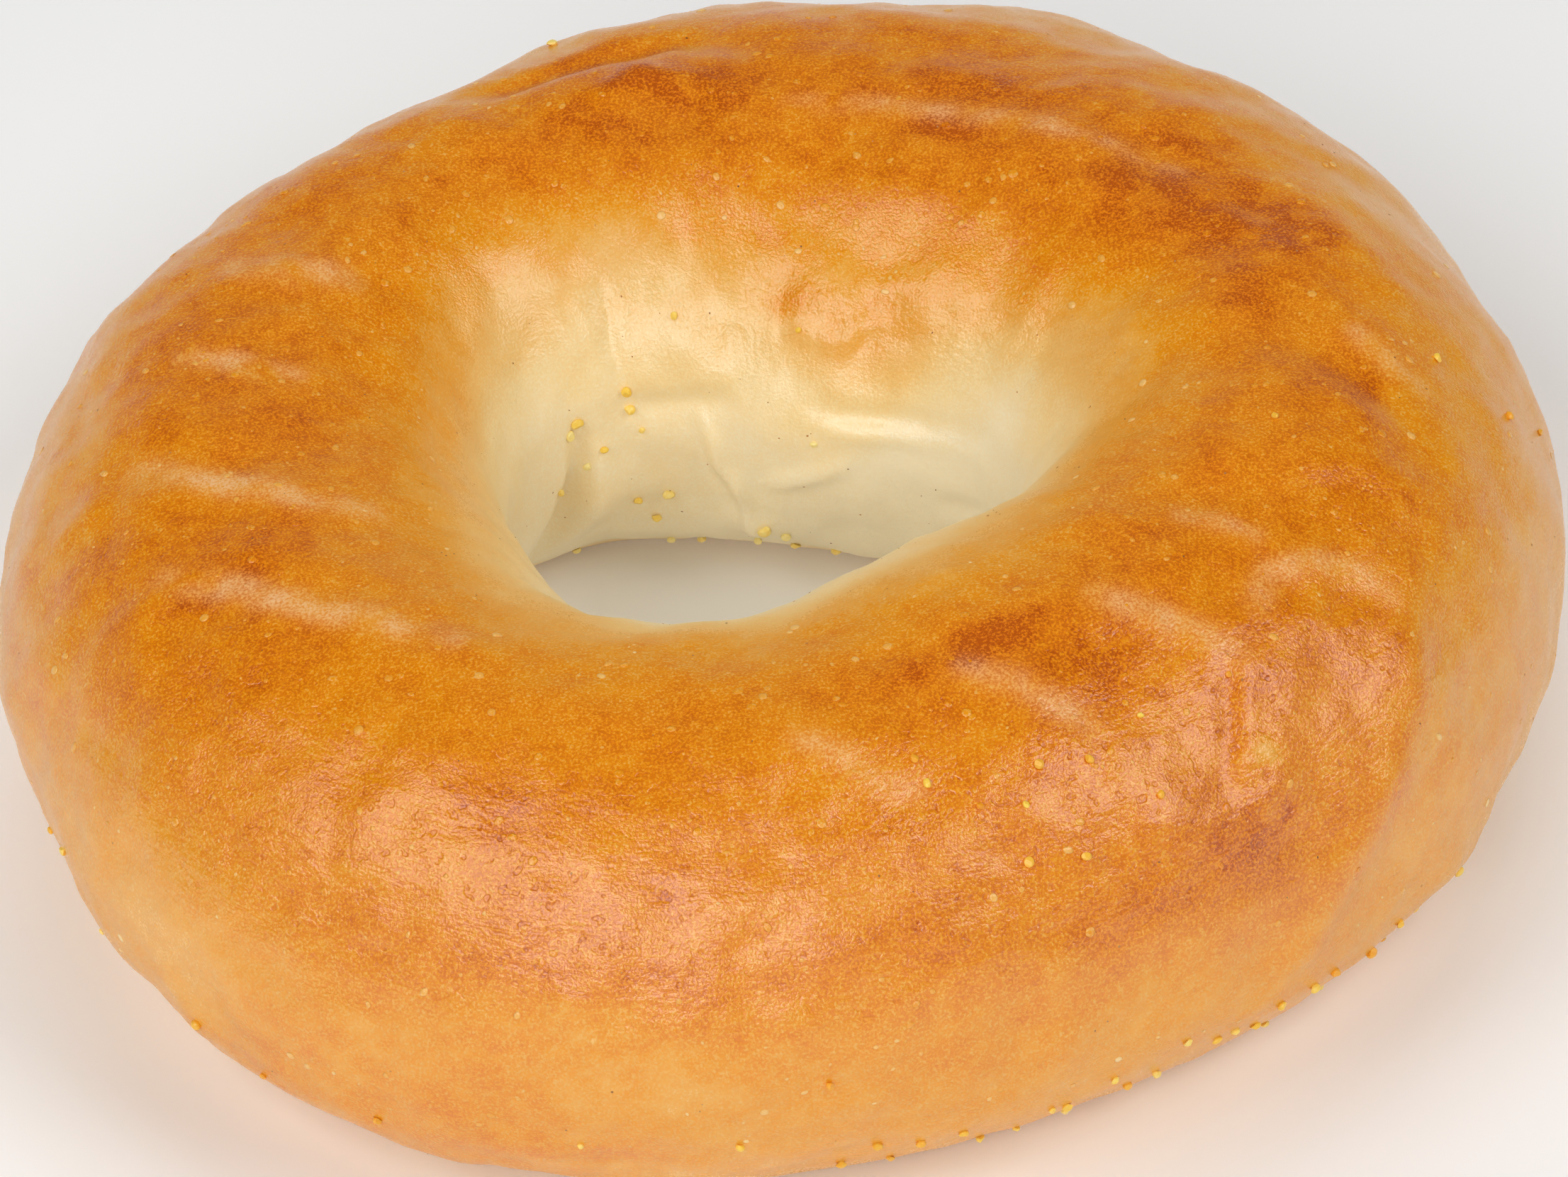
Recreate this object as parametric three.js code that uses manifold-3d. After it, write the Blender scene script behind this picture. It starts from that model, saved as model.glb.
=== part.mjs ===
// A plain bagel, rolled by hand and baked on a board dusted with cornmeal. Lengths are in millimetres, +Z is
// up, and the bagel rests on its flat base at z = 0. A point of the crust is given by two angles in degrees:
// ring, which runs round the hole from +X towards +Y, and section, which runs round the dough from the outer
// side (0) over the top (90) to the wall of the hole (180) and the base (270).
import * as THREE from "three";
import { mergeVertices } from "three/addons/utils/BufferGeometryUtils.js";
import Module from "manifold-3d";

// Ring as seen from above: a mean radius, then its waves of 1, 2, 3 and 4 to the turn, each with the heights
// of its cosine and its sine
const OUTER_RADIUS = { mean: 57.2, waves: [[2.93, -0.67], [-0.22, 2.13], [0.16, -0.22], [-0.01, -0.54]] };
const HOLE_RADIUS = { mean: 16.13, waves: [[-0.1, -1.06], [1.4, -0.48], [1.78, 1.25], [0.28, -0.4]] };
const HEIGHT = { mean: 34.4, waves: [[1.87, -0.45]] };

// Section of the dough
const WIDEST_SHARE = 0.46; // of the height, where the dough is widest
const UPPER_FULLNESS = 1.94; // 2 is an ellipse, and more is squarer
const LOWER_FULLNESS = 2.3;
const BASE_CUT = 1.15; // the lower curve would reach this many times its depth, and the board cuts it off
const BASE_EDGE = 0.4; // softness of the edge where the dough leaves the board
const BASE_TRIM = 0.04; // so that the base is truly flat

// Mesh of the dough
const RING_STEPS = 96;
const SECTION_STEPS = 36;

// Creases, folds and ridges that the dough kept from rolling and joining, each along a route of
// [ring, section], deepest or highest at its middle and gone at its ends
const CREASES = [
  // Joint of the rope's ends, and the end that lies beside it
  { route: [[131, 168], [132, 182], [135, 196], [140, 222]], width: 1.1, height: -2.0 },
  { route: [[127, 176], [128, 190], [131, 210]], width: 2.4, height: 0.9 },
  // Edge of the lapped dough
  { route: [[103, 168], [97.5, 178], [96, 184], [91, 189], [88, 196], [84.5, 208]], width: 0.9, height: 0.8 },
  // Ledge and folds on the wall of the hole
  { route: [[123, 170], [108, 168], [88, 166]], width: 1.3, height: -0.5 },
  { route: [[70, 166], [52, 168], [34, 168], [16, 164]], width: 1.2, height: -0.6 },
  { route: [[68, 171], [50, 172.5], [34, 172.5], [16, 169]], width: 1.2, height: 0.5 },
  { route: [[84, 189], [70, 185], [50, 180]], width: 1.1, height: 0.6 },
  { route: [[31, 187], [22, 185], [13, 183]], width: 1.2, height: -0.6 },
  // Wrinkle on the back of the top
  { route: [[122, 67.5], [107, 72], [96, 72.5], [86, 83]], width: 1.5, height: -0.9 },
  { route: [[108, 93], [101, 86.5], [94, 92]], width: 1.6, height: 0.7 },
  // Hollows on the right of the top
  { route: [[10, 90], [357.8, 81.5], [351, 66], [341, 51]], width: 2.4, height: -0.6 },
  { route: [[52, 92], [30, 86], [10, 72]], width: 2.6, height: -0.5 },
  // Groove on the front shoulder, and the long edge beside it on the outer side
  { route: [[316.6, 59], [313.4, 52], [311.4, 44.5], [308.8, 35]], width: 1.1, height: -0.3 },
  { route: [[339, 54], [322, 18], [315, 2], [307, 334]], width: 2.2, height: 0.7 },
];

// Broad dents and swellings of the dough, and the drop at the lower end of the lapped edge
const SWELLINGS = [
  { place: [128, 50], width: 15, height: -0.7 },
  { place: [206, 345], width: 10, height: -0.6 },
  { place: [296, 48], width: 7, height: 0.4 },
  { place: [85, 204], width: 1.8, height: 0.9 },
];

// Cornmeal grains that stand out of the crust, in bands of ring and section where the real ones lie
const GRAIN_SIDES = 0; // subdivisions of the icosahedron that a grain is cut from
const GRAIN_RADIUS = [0.45, 0.72];
const GRAIN_STRETCH = [[1, 1.35], [0.85, 1.05], [0.75, 0.95]]; // its length, width and thickness, in radii
const GRAIN_SINK = 0.25; // share of its radius that a grain's middle lies under the crust
const GRAIN_BANDS = [
  { count: 40, ring: [185, 545], section: [316, 345] }, // lower outer side
  { count: 12, ring: [150, 410], section: [198, 222] }, // wall of the hole, all but its back
];
// Single grains at the back of the hole's wall and spilled on the shoulders, each at its [ring, section]
const SINGLE_GRAINS = [
  [119, 164.5], [119, 170], [131.5, 171], [133.5, 173.5], [130, 183], [117, 197.5], [109.5, 196],
  [111.5, 205.5], [83, 203], [76, 208], [62.5, 175], [104.5, 147.5], [125, 222], [106, 219], [99, 220],
  [85, 215], [75.5, 218], [65.5, 219], [285, 63.5], [285.5, 58], [295, 54.5], [299, 52], [303.5, 40.5],
  [292, 37.5], [296, 35], [344, 88], [0.5, 56], [359, 37],
];
const GOLDEN_RATIO = 0.618034; // steps of it spread places evenly
const PLACE_SPREAD = 0.6; // how far a grain may lie off its even place along the ring, in steps
const RANDOM_SEED = 4177;

const TURN = 2 * Math.PI;
const radians = THREE.MathUtils.degToRad;

function waved({ mean, waves }, ring) {
  return waves.reduce(
    (sum, [cosine, sine], k) =>
      sum + cosine * Math.cos((k + 1) * ring) + sine * Math.sin((k + 1) * ring),
    mean,
  );
}

// The smooth dough without its creases, with both angles in radians
function smoothDough(ring, section) {
  const outer = waved(OUTER_RADIUS, ring);
  const hole = waved(HOLE_RADIUS, ring);
  const height = waved(HEIGHT, ring);
  const widest = WIDEST_SHARE * height;
  const rise = Math.sin(section);
  const power = 2 / (rise >= 0 ? UPPER_FULLNESS : LOWER_FULLNESS);
  const reach = Math.sign(Math.cos(section)) * Math.abs(Math.cos(section)) ** power;
  const lift = Math.abs(rise) ** power;
  const radius = (outer + hole) / 2 + ((outer - hole) / 2) * reach;
  const level = rise >= 0 ? widest + (height - widest) * lift : widest * (1 - BASE_CUT * lift);
  const z = (level + Math.hypot(level, BASE_EDGE)) / 2 - BASE_TRIM;
  return new THREE.Vector3(radius * Math.cos(ring), radius * Math.sin(ring), Math.max(0, z));
}

// Outward direction of the smooth dough
function outward(ring, section) {
  const step = 1e-3;
  const along = smoothDough(ring + step, section).sub(smoothDough(ring - step, section));
  const round = smoothDough(ring, section + step).sub(smoothDough(ring, section - step));
  return along.cross(round).normalize();
}

const placeOnDough = ([ring, section]) => smoothDough(radians(ring), radians(section));
const bell = (gap, width) => Math.exp(-((gap / width) ** 2));

// The creases as stretches of a line over the smooth dough, each with how far along the route it starts
const creaseLines = CREASES.map(({ route, width, height }) => {
  const points = route.map(placeOnDough);
  const lengths = points.slice(1).map((end, k) => end.distanceTo(points[k]));
  const whole = lengths.reduce((sum, length) => sum + length);
  let travelled = 0;
  const stretches = lengths.map((length, k) => {
    const from = travelled / whole;
    travelled += length;
    return { line: new THREE.Line3(points[k], points[k + 1]), from, share: length / whole };
  });
  return { stretches, width, height };
});
const swellings = SWELLINGS.map(({ place, width, height }) => {
  return { middle: placeOnDough(place), width, height };
});

// How far a crease moves a point of the dough
function creasePush(point, { stretches, width, height }) {
  let gap = Infinity;
  let along = 0;
  for (const { line, from, share } of stretches) {
    const part = line.closestPointToPointParameter(point, true);
    const distance = line.at(part, new THREE.Vector3()).distanceTo(point);
    if (distance < gap) [gap, along] = [distance, from + part * share];
  }
  return height * bell(gap, width) * 4 * along * (1 - along);
}

// A point of the crust: the smooth dough, pushed in or out by the creases and swellings near it
function crust(ring, section) {
  const point = smoothDough(ring, section);
  if (point.z === 0) return point;
  const creased = creaseLines.reduce((sum, crease) => sum + creasePush(point, crease), 0);
  const push = swellings.reduce(
    (sum, { middle, width, height }) => sum + height * bell(middle.distanceTo(point), width),
    creased,
  );
  point.addScaledVector(outward(ring, section), push);
  point.z = Math.max(point.z, 0);
  return point;
}

function doughGeometry() {
  const positions = [];
  for (let i = 0; i < RING_STEPS; i++)
    for (let j = 0; j < SECTION_STEPS; j++)
      positions.push(...crust((TURN * i) / RING_STEPS, (TURN * j) / SECTION_STEPS).toArray());
  const corner = (i, j) => (i % RING_STEPS) * SECTION_STEPS + (j % SECTION_STEPS);
  const index = [];
  for (let i = 0; i < RING_STEPS; i++)
    for (let j = 0; j < SECTION_STEPS; j++) {
      const [a, b, c, d] = [corner(i, j), corner(i + 1, j), corner(i + 1, j + 1), corner(i, j + 1)];
      index.push(a, b, c, a, c, d);
    }
  return new THREE.BufferGeometry()
    .setAttribute("position", new THREE.Float32BufferAttribute(positions, 3))
    .setIndex(index);
}

// The same numbers from 0 to 1 each time
function randomFrom(seed) {
  let state = seed;
  return () => {
    state = (state * 48271) % 2147483647;
    return state / 2147483647;
  };
}

const between = ([low, high], share) => THREE.MathUtils.lerp(low, high, share);

// The places of the grains in degrees: those of each band, and the single ones
function grainPlaces(random) {
  const banded = GRAIN_BANDS.flatMap(({ count, ring, section }) =>
    Array.from({ length: count }, (_, k) => [
      between(ring, (k + 0.5 + PLACE_SPREAD * (random() - 0.5)) / count),
      between(section, (k * GOLDEN_RATIO) % 1),
    ]),
  );
  return [...banded, ...SINGLE_GRAINS];
}

// Grains, each turned and sized at random and sunk a little into the crust
function grainGeometries() {
  const random = randomFrom(RANDOM_SEED);
  return grainPlaces(random).map(([ring, section]) => {
    const radius = between(GRAIN_RADIUS, random());
    const grain = new THREE.IcosahedronGeometry(radius, GRAIN_SIDES);
    grain.scale(...GRAIN_STRETCH.map((range) => between(range, random())));
    grain.rotateX(TURN * random());
    grain.rotateZ(TURN * random());
    const direction = outward(radians(ring), radians(section));
    const spot = crust(radians(ring), radians(section));
    const middle = spot.addScaledVector(direction, -GRAIN_SINK * radius);
    return grain.translate(middle.x, middle.y, middle.z);
  });
}

const wasm = await Module();
wasm.setup();

function solidFrom(geometry) {
  const bare = new THREE.BufferGeometry().setAttribute("position", geometry.getAttribute("position"));
  if (geometry.index) bare.setIndex(geometry.index);
  const merged = mergeVertices(bare, 1e-4);
  return new wasm.Manifold(
    new wasm.Mesh({
      numProp: 3,
      vertProperties: merged.getAttribute("position").array,
      triVerts: new Uint32Array(merged.index.array),
    }),
  );
}

function geometryFrom(solid) {
  const { vertProperties, triVerts } = solid.getMesh();
  return new THREE.BufferGeometry()
    .setAttribute("position", new THREE.BufferAttribute(new Float32Array(vertProperties), 3))
    .setIndex(new THREE.BufferAttribute(new Uint32Array(triVerts), 1));
}

const dough = solidFrom(doughGeometry());
const whole = grainGeometries().reduce((made, grain) => made.add(solidFrom(grain)), dough);

const bagel = new THREE.Mesh(
  geometryFrom(whole),
  new THREE.MeshStandardMaterial({ color: 0xd9933f, roughness: 0.45, metalness: 0 }),
);
bagel.name = "bagel";
bagel.geometry.computeVertexNormals();

// The origin is on the base, under the middle of the bagel's length and width
const extent = new THREE.Box3().setFromObject(bagel);
const middle = extent.getCenter(new THREE.Vector3());
bagel.position.set(-middle.x, -middle.y, 0);

const part = new THREE.Group();
part.add(bagel);

export default part;
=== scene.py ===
"""A plain bagel, rolled by hand, boiled, and baked on a board dusted with cornmeal.

A place on the crust is given by two angles in degrees: ring runs round the hole from +X towards +Y, and
section runs round the dough from the outer side (0) over the top (90) to the wall of the hole (180) and the
base (270). Lengths are in metres, and the named ones in millimetres become so many times MM.
"""
import math
import random

import bmesh
import bpy
import numpy as np
from mathutils import Matrix, Quaternion, Vector, noise
from mathutils.bvhtree import BVHTree


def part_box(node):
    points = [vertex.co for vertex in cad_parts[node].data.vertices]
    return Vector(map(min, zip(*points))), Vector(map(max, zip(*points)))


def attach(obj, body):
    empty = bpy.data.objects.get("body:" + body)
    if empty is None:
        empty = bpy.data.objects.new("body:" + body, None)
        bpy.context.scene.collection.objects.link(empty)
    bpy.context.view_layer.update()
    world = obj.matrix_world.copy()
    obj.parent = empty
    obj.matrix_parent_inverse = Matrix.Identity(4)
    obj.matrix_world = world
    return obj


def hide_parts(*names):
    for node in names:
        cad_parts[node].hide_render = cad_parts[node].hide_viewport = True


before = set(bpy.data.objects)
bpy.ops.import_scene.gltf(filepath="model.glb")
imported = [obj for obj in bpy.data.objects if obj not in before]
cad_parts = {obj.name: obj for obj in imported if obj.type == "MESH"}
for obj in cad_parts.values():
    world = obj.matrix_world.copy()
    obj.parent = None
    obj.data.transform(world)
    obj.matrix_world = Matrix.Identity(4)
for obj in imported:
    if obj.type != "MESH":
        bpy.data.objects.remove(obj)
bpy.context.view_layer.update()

MM = 0.001
TURN = 2 * math.pi

# Ring as seen from above: a mean radius in millimetres, then its waves of 1, 2, 3 and 4 to the turn, as
# (cosine, sine) heights
OUTER_RADIUS = (57.2, [(2.93, -0.67), (-0.22, 2.13), (0.16, -0.22), (-0.01, -0.54)])
HOLE_RADIUS = (16.13, [(-0.1, -1.06), (1.4, -0.48), (1.78, 1.25), (0.28, -0.4)])
HEIGHT = (34.4, [(1.87, -0.45)])

# Section of the dough
WIDEST_SHARE = 0.46  # of the height, where the dough is widest
UPPER_FULLNESS = 1.94  # 2 is an ellipse, and more is squarer
LOWER_FULLNESS = 2.3
BASE_CUT = 1.15  # the lower curve would reach this many times its depth, and the board cuts it off

# Camera, as the photograph was taken: it looks along +Y and down on the bagel
CAMERA_ELEVATION = math.radians(39.17)
CAMERA_ROLL = 0.017
CAMERA_DISTANCE = 750 * MM
CAMERA_LENS = 235.6
AIM_HEIGHT = 17.2 * MM
AIM_RIGHT = 3.175 * MM  # how far the middle of the picture lies from the middle of the ring
AIM_DOWN = 3.534 * MM

# Folds and ridges of the dough, each along a route of (ring, section), with its width and height in
# millimetres
CREASES = [
    # Joint of the rope's ends, and the end that lies beside it
    ([(131, 168), (132, 182), (135, 196), (140, 222)], 0.9, -2.0),
    ([(127, 176), (128, 190), (131, 210)], 2.4, 0.9),
    # Edge of the lapped dough
    ([(103, 168), (97.5, 178), (96, 184), (91, 189), (88, 196), (84.5, 208)], 0.7, 0.8),
    # Ledge and folds on the wall of the hole
    ([(123, 170), (108, 168), (88, 166)], 1.0, -0.5),
    ([(70, 166), (52, 168), (34, 168), (16, 164)], 0.9, -0.6),
    ([(68, 170), (50, 171.5), (34, 171.5), (16, 168)], 0.9, 0.5),
    ([(84, 189), (70, 185), (50, 180)], 0.7, 0.6),
    ([(31, 187), (22, 185), (13, 183)], 1.2, -0.6),
    # Wrinkle on the back of the top
    ([(122, 67.5), (107, 72), (96, 72.5), (86, 83)], 1.5, -0.9),
    ([(108, 93), (101, 86.5), (94, 92)], 1.6, 0.7),
    # Hollows on the right of the top
    ([(10, 90), (357.8, 81.5), (351, 66), (341, 51)], 2.4, -0.6),
    ([(52, 92), (30, 86), (10, 72)], 2.6, -0.5),
    # Groove on the front shoulder, and the long edge beside it on the outer side
    ([(316.6, 59), (313.4, 52), (311.4, 44.5), (308.8, 35)], 0.65, -0.3),
    ([(318.4, 59), (315.2, 52), (313.2, 44.5), (310.6, 35)], 0.8, 0.25),
    ([(339, 54), (322, 18), (315, 2), (307, 334)], 2.2, 0.7),
]
# Shallow folds and bulges in the skin alone, given the same way
SKIN_FOLDS = [
    ([(77, 136), (79.5, 141), (76.5, 145)], 1.1, -0.25),
    ([(75, 147), (69, 150), (59, 151.5), (56, 147), (44, 146)], 0.7, 0.4),
    ([(66, 134), (58, 135), (48, 134)], 0.9, -0.12),
    ([(86, 134), (76, 138), (64, 140), (50, 139), (34, 135)], 2.6, 0.55),
    ([(118, 136), (120, 152), (119.5, 165)], 0.6, -0.3),
    ([(124, 138), (123, 146), (121, 152)], 1.2, 0.2),
]
# Broad dents and swellings of the dough, as (ring, section), with their width and height in millimetres
SWELLINGS = [
    ((128, 50), 15, -0.7),
    ((206, 345), 10, -0.6),
    ((296, 48), 7, 0.4),
    ((85, 204), 1.8, 0.9),
]
# Uneven rise of the dough: height and size of its humps in millimetres, and the seed of its noise
LUMPS = [(0.6, 13, 3), (0.30, 5, 4)]
# Fine wrinkles, given the same way, and where the crust is leathery with them, as (from, to, softness)
WRINKLES = (0.15, 1.7, 11)
SHOULDER_RING = (222, 330, 12)
SHOULDER_SECTION = (18, 66, 10)
CREST_RING = (15, 110, 12)
CREST_SECTION = (134, 152, 8)
CREST_SHARE = 0.7  # how leathery the inner crest, over the back wall of the hole, is beside the shoulder
LEAST_LEATHERY = 0.35
RIDGE_HEIGHT = 0.10  # of a stretch mark, in millimetres
BOARD_EDGE = (0.3, 3)  # over these heights above the board the relief fades in
UNDERSIDE_LIFT = 0.16
UNDERSIDE_DENTS = (0.12, 4, 7)

# Where the brown of the top begins on the outer side and ends towards the hole, as (ring, section)
BROWN_FROM = [
    (0, 65), (30, 75), (60, 80), (90, 76), (120, 72), (150, 64), (180, 50),
    (210, 32), (240, 17), (270, 14), (300, 10), (315, 2), (325, 30), (338, 52),
]
BROWN_TO = [
    (0, 118), (15, 119), (30, 129), (45, 135), (60, 136), (75, 131), (90, 126), (120, 122), (150, 126),
    (180, 130), (200, 124), (220, 115), (240, 107), (270, 102), (300, 101), (320, 106), (340, 114),
]
# How brown the crust is, at so many degrees of section past each of those two edges
OUTSIDE_STEPS = [(-75, 0.44), (-35, 0.52), (-12, 0.58), (12, 0.75)]
INSIDE_STEPS = [(-14, 0.75), (3, 0.56), (16, 0.38), (30, 0.17), (46, 0.03)]
INSIDE_RANGE = (60, 235)
# How brown it is at each section angle of the underside
UNDERSIDE_STEPS = [(220, 0.12), (240, 0.34), (252, 0.55), (288, 0.55), (302, 0.44), (320, 0.42)]
UNDERSIDE_RANGE = (220, 320)

# Pale lines where the skin of the dough was stretched, which also carry a painted sheen: route of (ring,
# section), width in millimetres and strength
STRETCH_MARKS = [
    ([(157.8, 69), (157.5, 81), (156.5, 96), (154, 110)], 2.2, 0.20),
    ([(172.8, 70), (174, 80), (176.8, 95), (178.2, 106)], 1.7, 0.26),
    (
        [(187.8, 60), (192.8, 71), (197.5, 82), (199.8, 88), (203.8, 96.5), (206.8, 104.5), (210.5, 113)],
        1.9, 0.24,
    ),
    (
        [(204, 58.5), (210, 69), (215.5, 76), (221.5, 82.5), (230, 90.5), (235.2, 93.5), (239, 95.5)],
        1.9, 0.26,
    ),
    ([(309, 85), (312, 76), (315.2, 63.5), (316.8, 54)], 1.8, 0.19),
    ([(290.8, 82.5), (296.2, 72.5), (300, 61.5), (302.2, 54.5)], 1.8, 0.17),
    ([(325.5, 92), (327.2, 81.5), (328, 72)], 1.4, 0.16),
    ([(320, 61.5), (325, 67), (329.2, 63), (331.5, 55), (332.2, 45)], 1.5, 0.20),
    ([(273.8, 75), (277.8, 69), (282, 59.5), (285.8, 56)], 1.6, 0.18),
    ([(84, 100), (70.2, 99.5), (53.5, 98), (39.8, 94), (30, 89)], 1.5, 0.18),
    ([(1.2, 77.5), (356.2, 65.5), (355.2, 58)], 1.5, 0.18),
]
MARK_WIDTH_SHARE = 0.6  # of the width, that the paleness takes
MARK_TAPER = 0.5
MARK_WOBBLE = 0.5  # how much each noise of the browning varies a mark's strength
MARK_RAGGED = 1.2
MARK_LESS_BROWN = 0.6
# How strongly the marks blend towards their peach, a painted sheen as well as paler skin
MARK_PALENESS_AND_SHEEN = 1.25
# Patches that baked darker, or paler where the strength is below 0, and one broad patch that darkens the far
# side of the ring: ring, section, half-sizes along the ring and across it in millimetres, and strength
PATCHES = [
    (17, 78, 5, 3, 0.20), (33.5, 101, 3, 2, 0.10), (60.5, 103, 3, 1.6, 0.22), (296, 83, 6, 1.8, 0.28),
    (309.8, 27, 4.5, 4, 0.12), (298, 19, 5, 4, 0.08), (264, 45, 3, 1.6, 0.05),
    (250, 57, 3.5, 2.5, 0.10), (197, 46, 4, 3, 0.14), (101, 89, 4, 2, 0.16), (94, 96, 3, 2, 0.12),
    (104.5, 70.5, 7, 2, 0.20), (76, 143.5, 2, 1.2, 0.2), (12, 95, 8, 5, 0.07), (25, 92, 7, 4, 0.08),
    (352, 76, 5, 4, 0.14), (338, 66, 5, 4, 0.10), (301, 68, 6, 4, 0.12), (115, 102, 6, 5, 0.08),
    (168, 76, 6, 8, 0.08), (184, 84, 7, 9, 0.08), (208, 76, 5, 7, 0.08), (222, 68, 6, 6, 0.06),
    (112, 134, 9, 5, -0.12), (72, 104, 6, 3, -0.08), (246, 48, 10, 6, -0.06), (56, 140, 11, 3.5, -0.05),
    # ring 60, section 98: the broad patch that darkens the far side of the ring
    (62, 138, 9, 3, 0.03), (60, 98, 34, 12, 0.09), (335, 5, 14, 12, 0.07), (226, 14, 9, 9, -0.10),
    (313.2, 38.5, 1.3, 0.9, -0.3), (190, 165, 14, 8, 0.05), (318, 68, 12, 9, 0.08), (196, 22, 8, 8, 0.08),
    (125, 178, 15, 10, 0.06), (205, 72, 8, 6, 0.08), (245, 338, 20, 7, 0.15),
]
PATCH_RADIUS = 19  # of the dough's section, in millimetres, that turns degrees across a patch into a length
PATCH_WOBBLE = 0.3
PATCH_RAGGED = 0.5

# Noises of the browning: size of their humps in millimetres, and seed
WOBBLE = (9, 5)
RAGGED = (2.4, 15)
WOBBLE_SHIFT = 8  # in degrees of section, that the brown's edges wander with each of the two
RAGGED_SHIFT = 2
# Mottling of the brown: strength, size of its humps in millimetres, and seed
FINE_MOTTLING = (0.09, 1.1, 21)
DRAWN_MOTTLING = (0.07, 4, 23)
BROAD_MOTTLING = (0.05, 20, 9)
RAGGED_MOTTLING = 0.06
MOTTLED_FROM = (0.3, 0.65)  # over these shades of brown the mottling comes in
LEAST_MOTTLED = 0.1

# Radii of the coordinates that drawn-out noises lie on, in millimetres. The second is less than the ring's
# own 37, which draws a noise out along the ring.
ROPE_RADIUS = 20
SQUEEZED_RADIUS = 21

# Cornmeal grains that the photograph shows one by one, as (ring, section), with their length in millimetres
SEEN_GRAINS = [
    (119.2, 164.5, 1.0), (118.8, 170, 0.9), (131.5, 171, 1.1), (133.5, 173.5, 0.9), (126.2, 180, 0.7),
    (130, 183, 0.8), (116.5, 176, 0.6), (137.8, 186.5, 0.7), (116.8, 197.5, 0.8), (109.5, 196, 1.0),
    (111.5, 205.5, 0.9), (82.8, 203, 1.1), (76, 208, 0.9), (62.5, 175, 0.6), (104.5, 147.5, 0.7),
    (71.5, 149, 0.6), (124.8, 225, 0.8), (105.8, 221, 0.8), (99, 222, 0.9), (85, 217, 0.9),
    (75.5, 220, 0.9), (65.5, 221.5, 0.8), (285, 63.5, 0.7), (285.5, 58, 0.8), (295, 54.5, 0.8),
    (299.2, 52, 0.8), (305.5, 56, 0.6), (292.8, 48, 0.6), (289.2, 50.5, 0.6), (303.5, 40.5, 0.7),
    (291.8, 37.5, 0.8), (296.2, 35, 0.8), (314.5, 55, 0.5), (275.5, 358, 0.8), (293.8, 331.5, 0.9),
    (303.2, 341, 0.8), (311.5, 339, 0.9), (344.2, 88, 0.6), (0.5, 56, 0.8), (358.8, 37, 0.8),
    (2.5, 22, 0.7), (106.5, 50, 0.9), (210.2, 355, 0.8),
]
# The rest are scattered: count, from and to ring, from and to section, shortest and longest
SCATTERED_GRAINS = [
    (26, 275, 335, 318, 338, 0.6, 1.0),
    (26, -20, 275, 316, 345, 0.5, 0.9),
    (22, 140, 410, 200, 226, 0.5, 0.9),
    (260, 0, 360, 242, 298, 0.5, 1.0),
]
GRAIN_KINDS = 5
GRAIN_BREAKS = 4  # flat faces broken off a grain, at these distances from its middle, in lengths
GRAIN_BREAK_AT = (0.26, 0.38)
GRAIN_WIDTH = (0.7, 0.95)  # in lengths
GRAIN_THICKNESS = (0.55, 0.8)
GRAIN_LIFT = 0.16  # how far its middle lies above the crust, in lengths
GRAIN_TOAST = (0.7, -0.1)  # how toasted a grain is: so much of the crust's brown, and a constant
GRAIN_TOAST_SPREAD = (-0.15, 0.35)

BLISTERS = 1100
BLISTER_LENGTH = (0.28, 0.85)  # in millimetres
BLISTER_WIDTH = (0.6, 1)  # in lengths
BLISTER_HEIGHT = 0.22
BLISTER_SECTION = (-20, 140)
BLISTER_BROWN = (0.45, 0.8)  # none rise where the crust is paler than the first, and all past the second
BLISTER_PALER = (0.08, 0.3)  # how much less brown a blister is than the crust round it
BRAN_FLECKS = 420
FLECK_LENGTH = (0.10, 0.24)
FLECK_WIDTH = (0.4, 0.9)  # in lengths
FLECK_THICKNESS = 0.3
FLECK_SECTION = (-60, 215)
RANDOM_SEED = 4177


def waved(shape, ring):
    """A mean with its waves, at ring angles in radians."""
    mean, waves = shape
    rises = (
        cosine * np.cos(count * ring) + sine * np.sin(count * ring)
        for count, (cosine, sine) in enumerate(waves, 1)
    )
    return mean + sum(rises)


def signed_power(value, power):
    return np.sign(value) * np.abs(value) ** power


def dough_sizes(ring):
    """Radius of the dough's middle, half its width, its height, and how high up it is widest, in metres."""
    outer, hole, height = (waved(shape, ring) * MM for shape in (OUTER_RADIUS, HOLE_RADIUS, HEIGHT))
    return (outer + hole) / 2, (outer - hole) / 2, height, WIDEST_SHARE * height


def section_curve(section):
    """How far out and up the dough reaches at a section angle, each from -1 to 1."""
    power = 2 / np.where(np.sin(section) >= 0, UPPER_FULLNESS, LOWER_FULLNESS)
    return signed_power(np.cos(section), power), signed_power(np.sin(section), power)


def ring_middle():
    """The middle of the ring's length and width, which the origin lies under."""
    ring = np.linspace(0, TURN, 720, endpoint=False)
    reach = waved(OUTER_RADIUS, ring) * MM
    x, y = reach * np.cos(ring), reach * np.sin(ring)
    return np.array([(x.min() + x.max()) / 2, (y.min() + y.max()) / 2, 0])


CAD_LOW, CAD_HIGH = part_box("bagel")
CAD_MIDDLE = np.array([(CAD_LOW.x + CAD_HIGH.x) / 2, (CAD_LOW.y + CAD_HIGH.y) / 2, CAD_LOW.z])
RING_ORIGIN = CAD_MIDDLE - ring_middle()  # the point that the ring's radii are measured from


def dough_point(ring, section):
    """Points of the smooth dough, for angles in degrees."""
    ring, section = np.radians(ring), np.radians(section)
    middle, half_width, height, widest = dough_sizes(ring)
    reach, rise = section_curve(section)
    radius = middle + half_width * reach
    level = widest + np.where(rise >= 0, height - widest, widest * BASE_CUT) * rise
    flat = np.stack([radius * np.cos(ring), radius * np.sin(ring), np.maximum(level, 0)], -1)
    return flat + RING_ORIGIN


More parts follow.
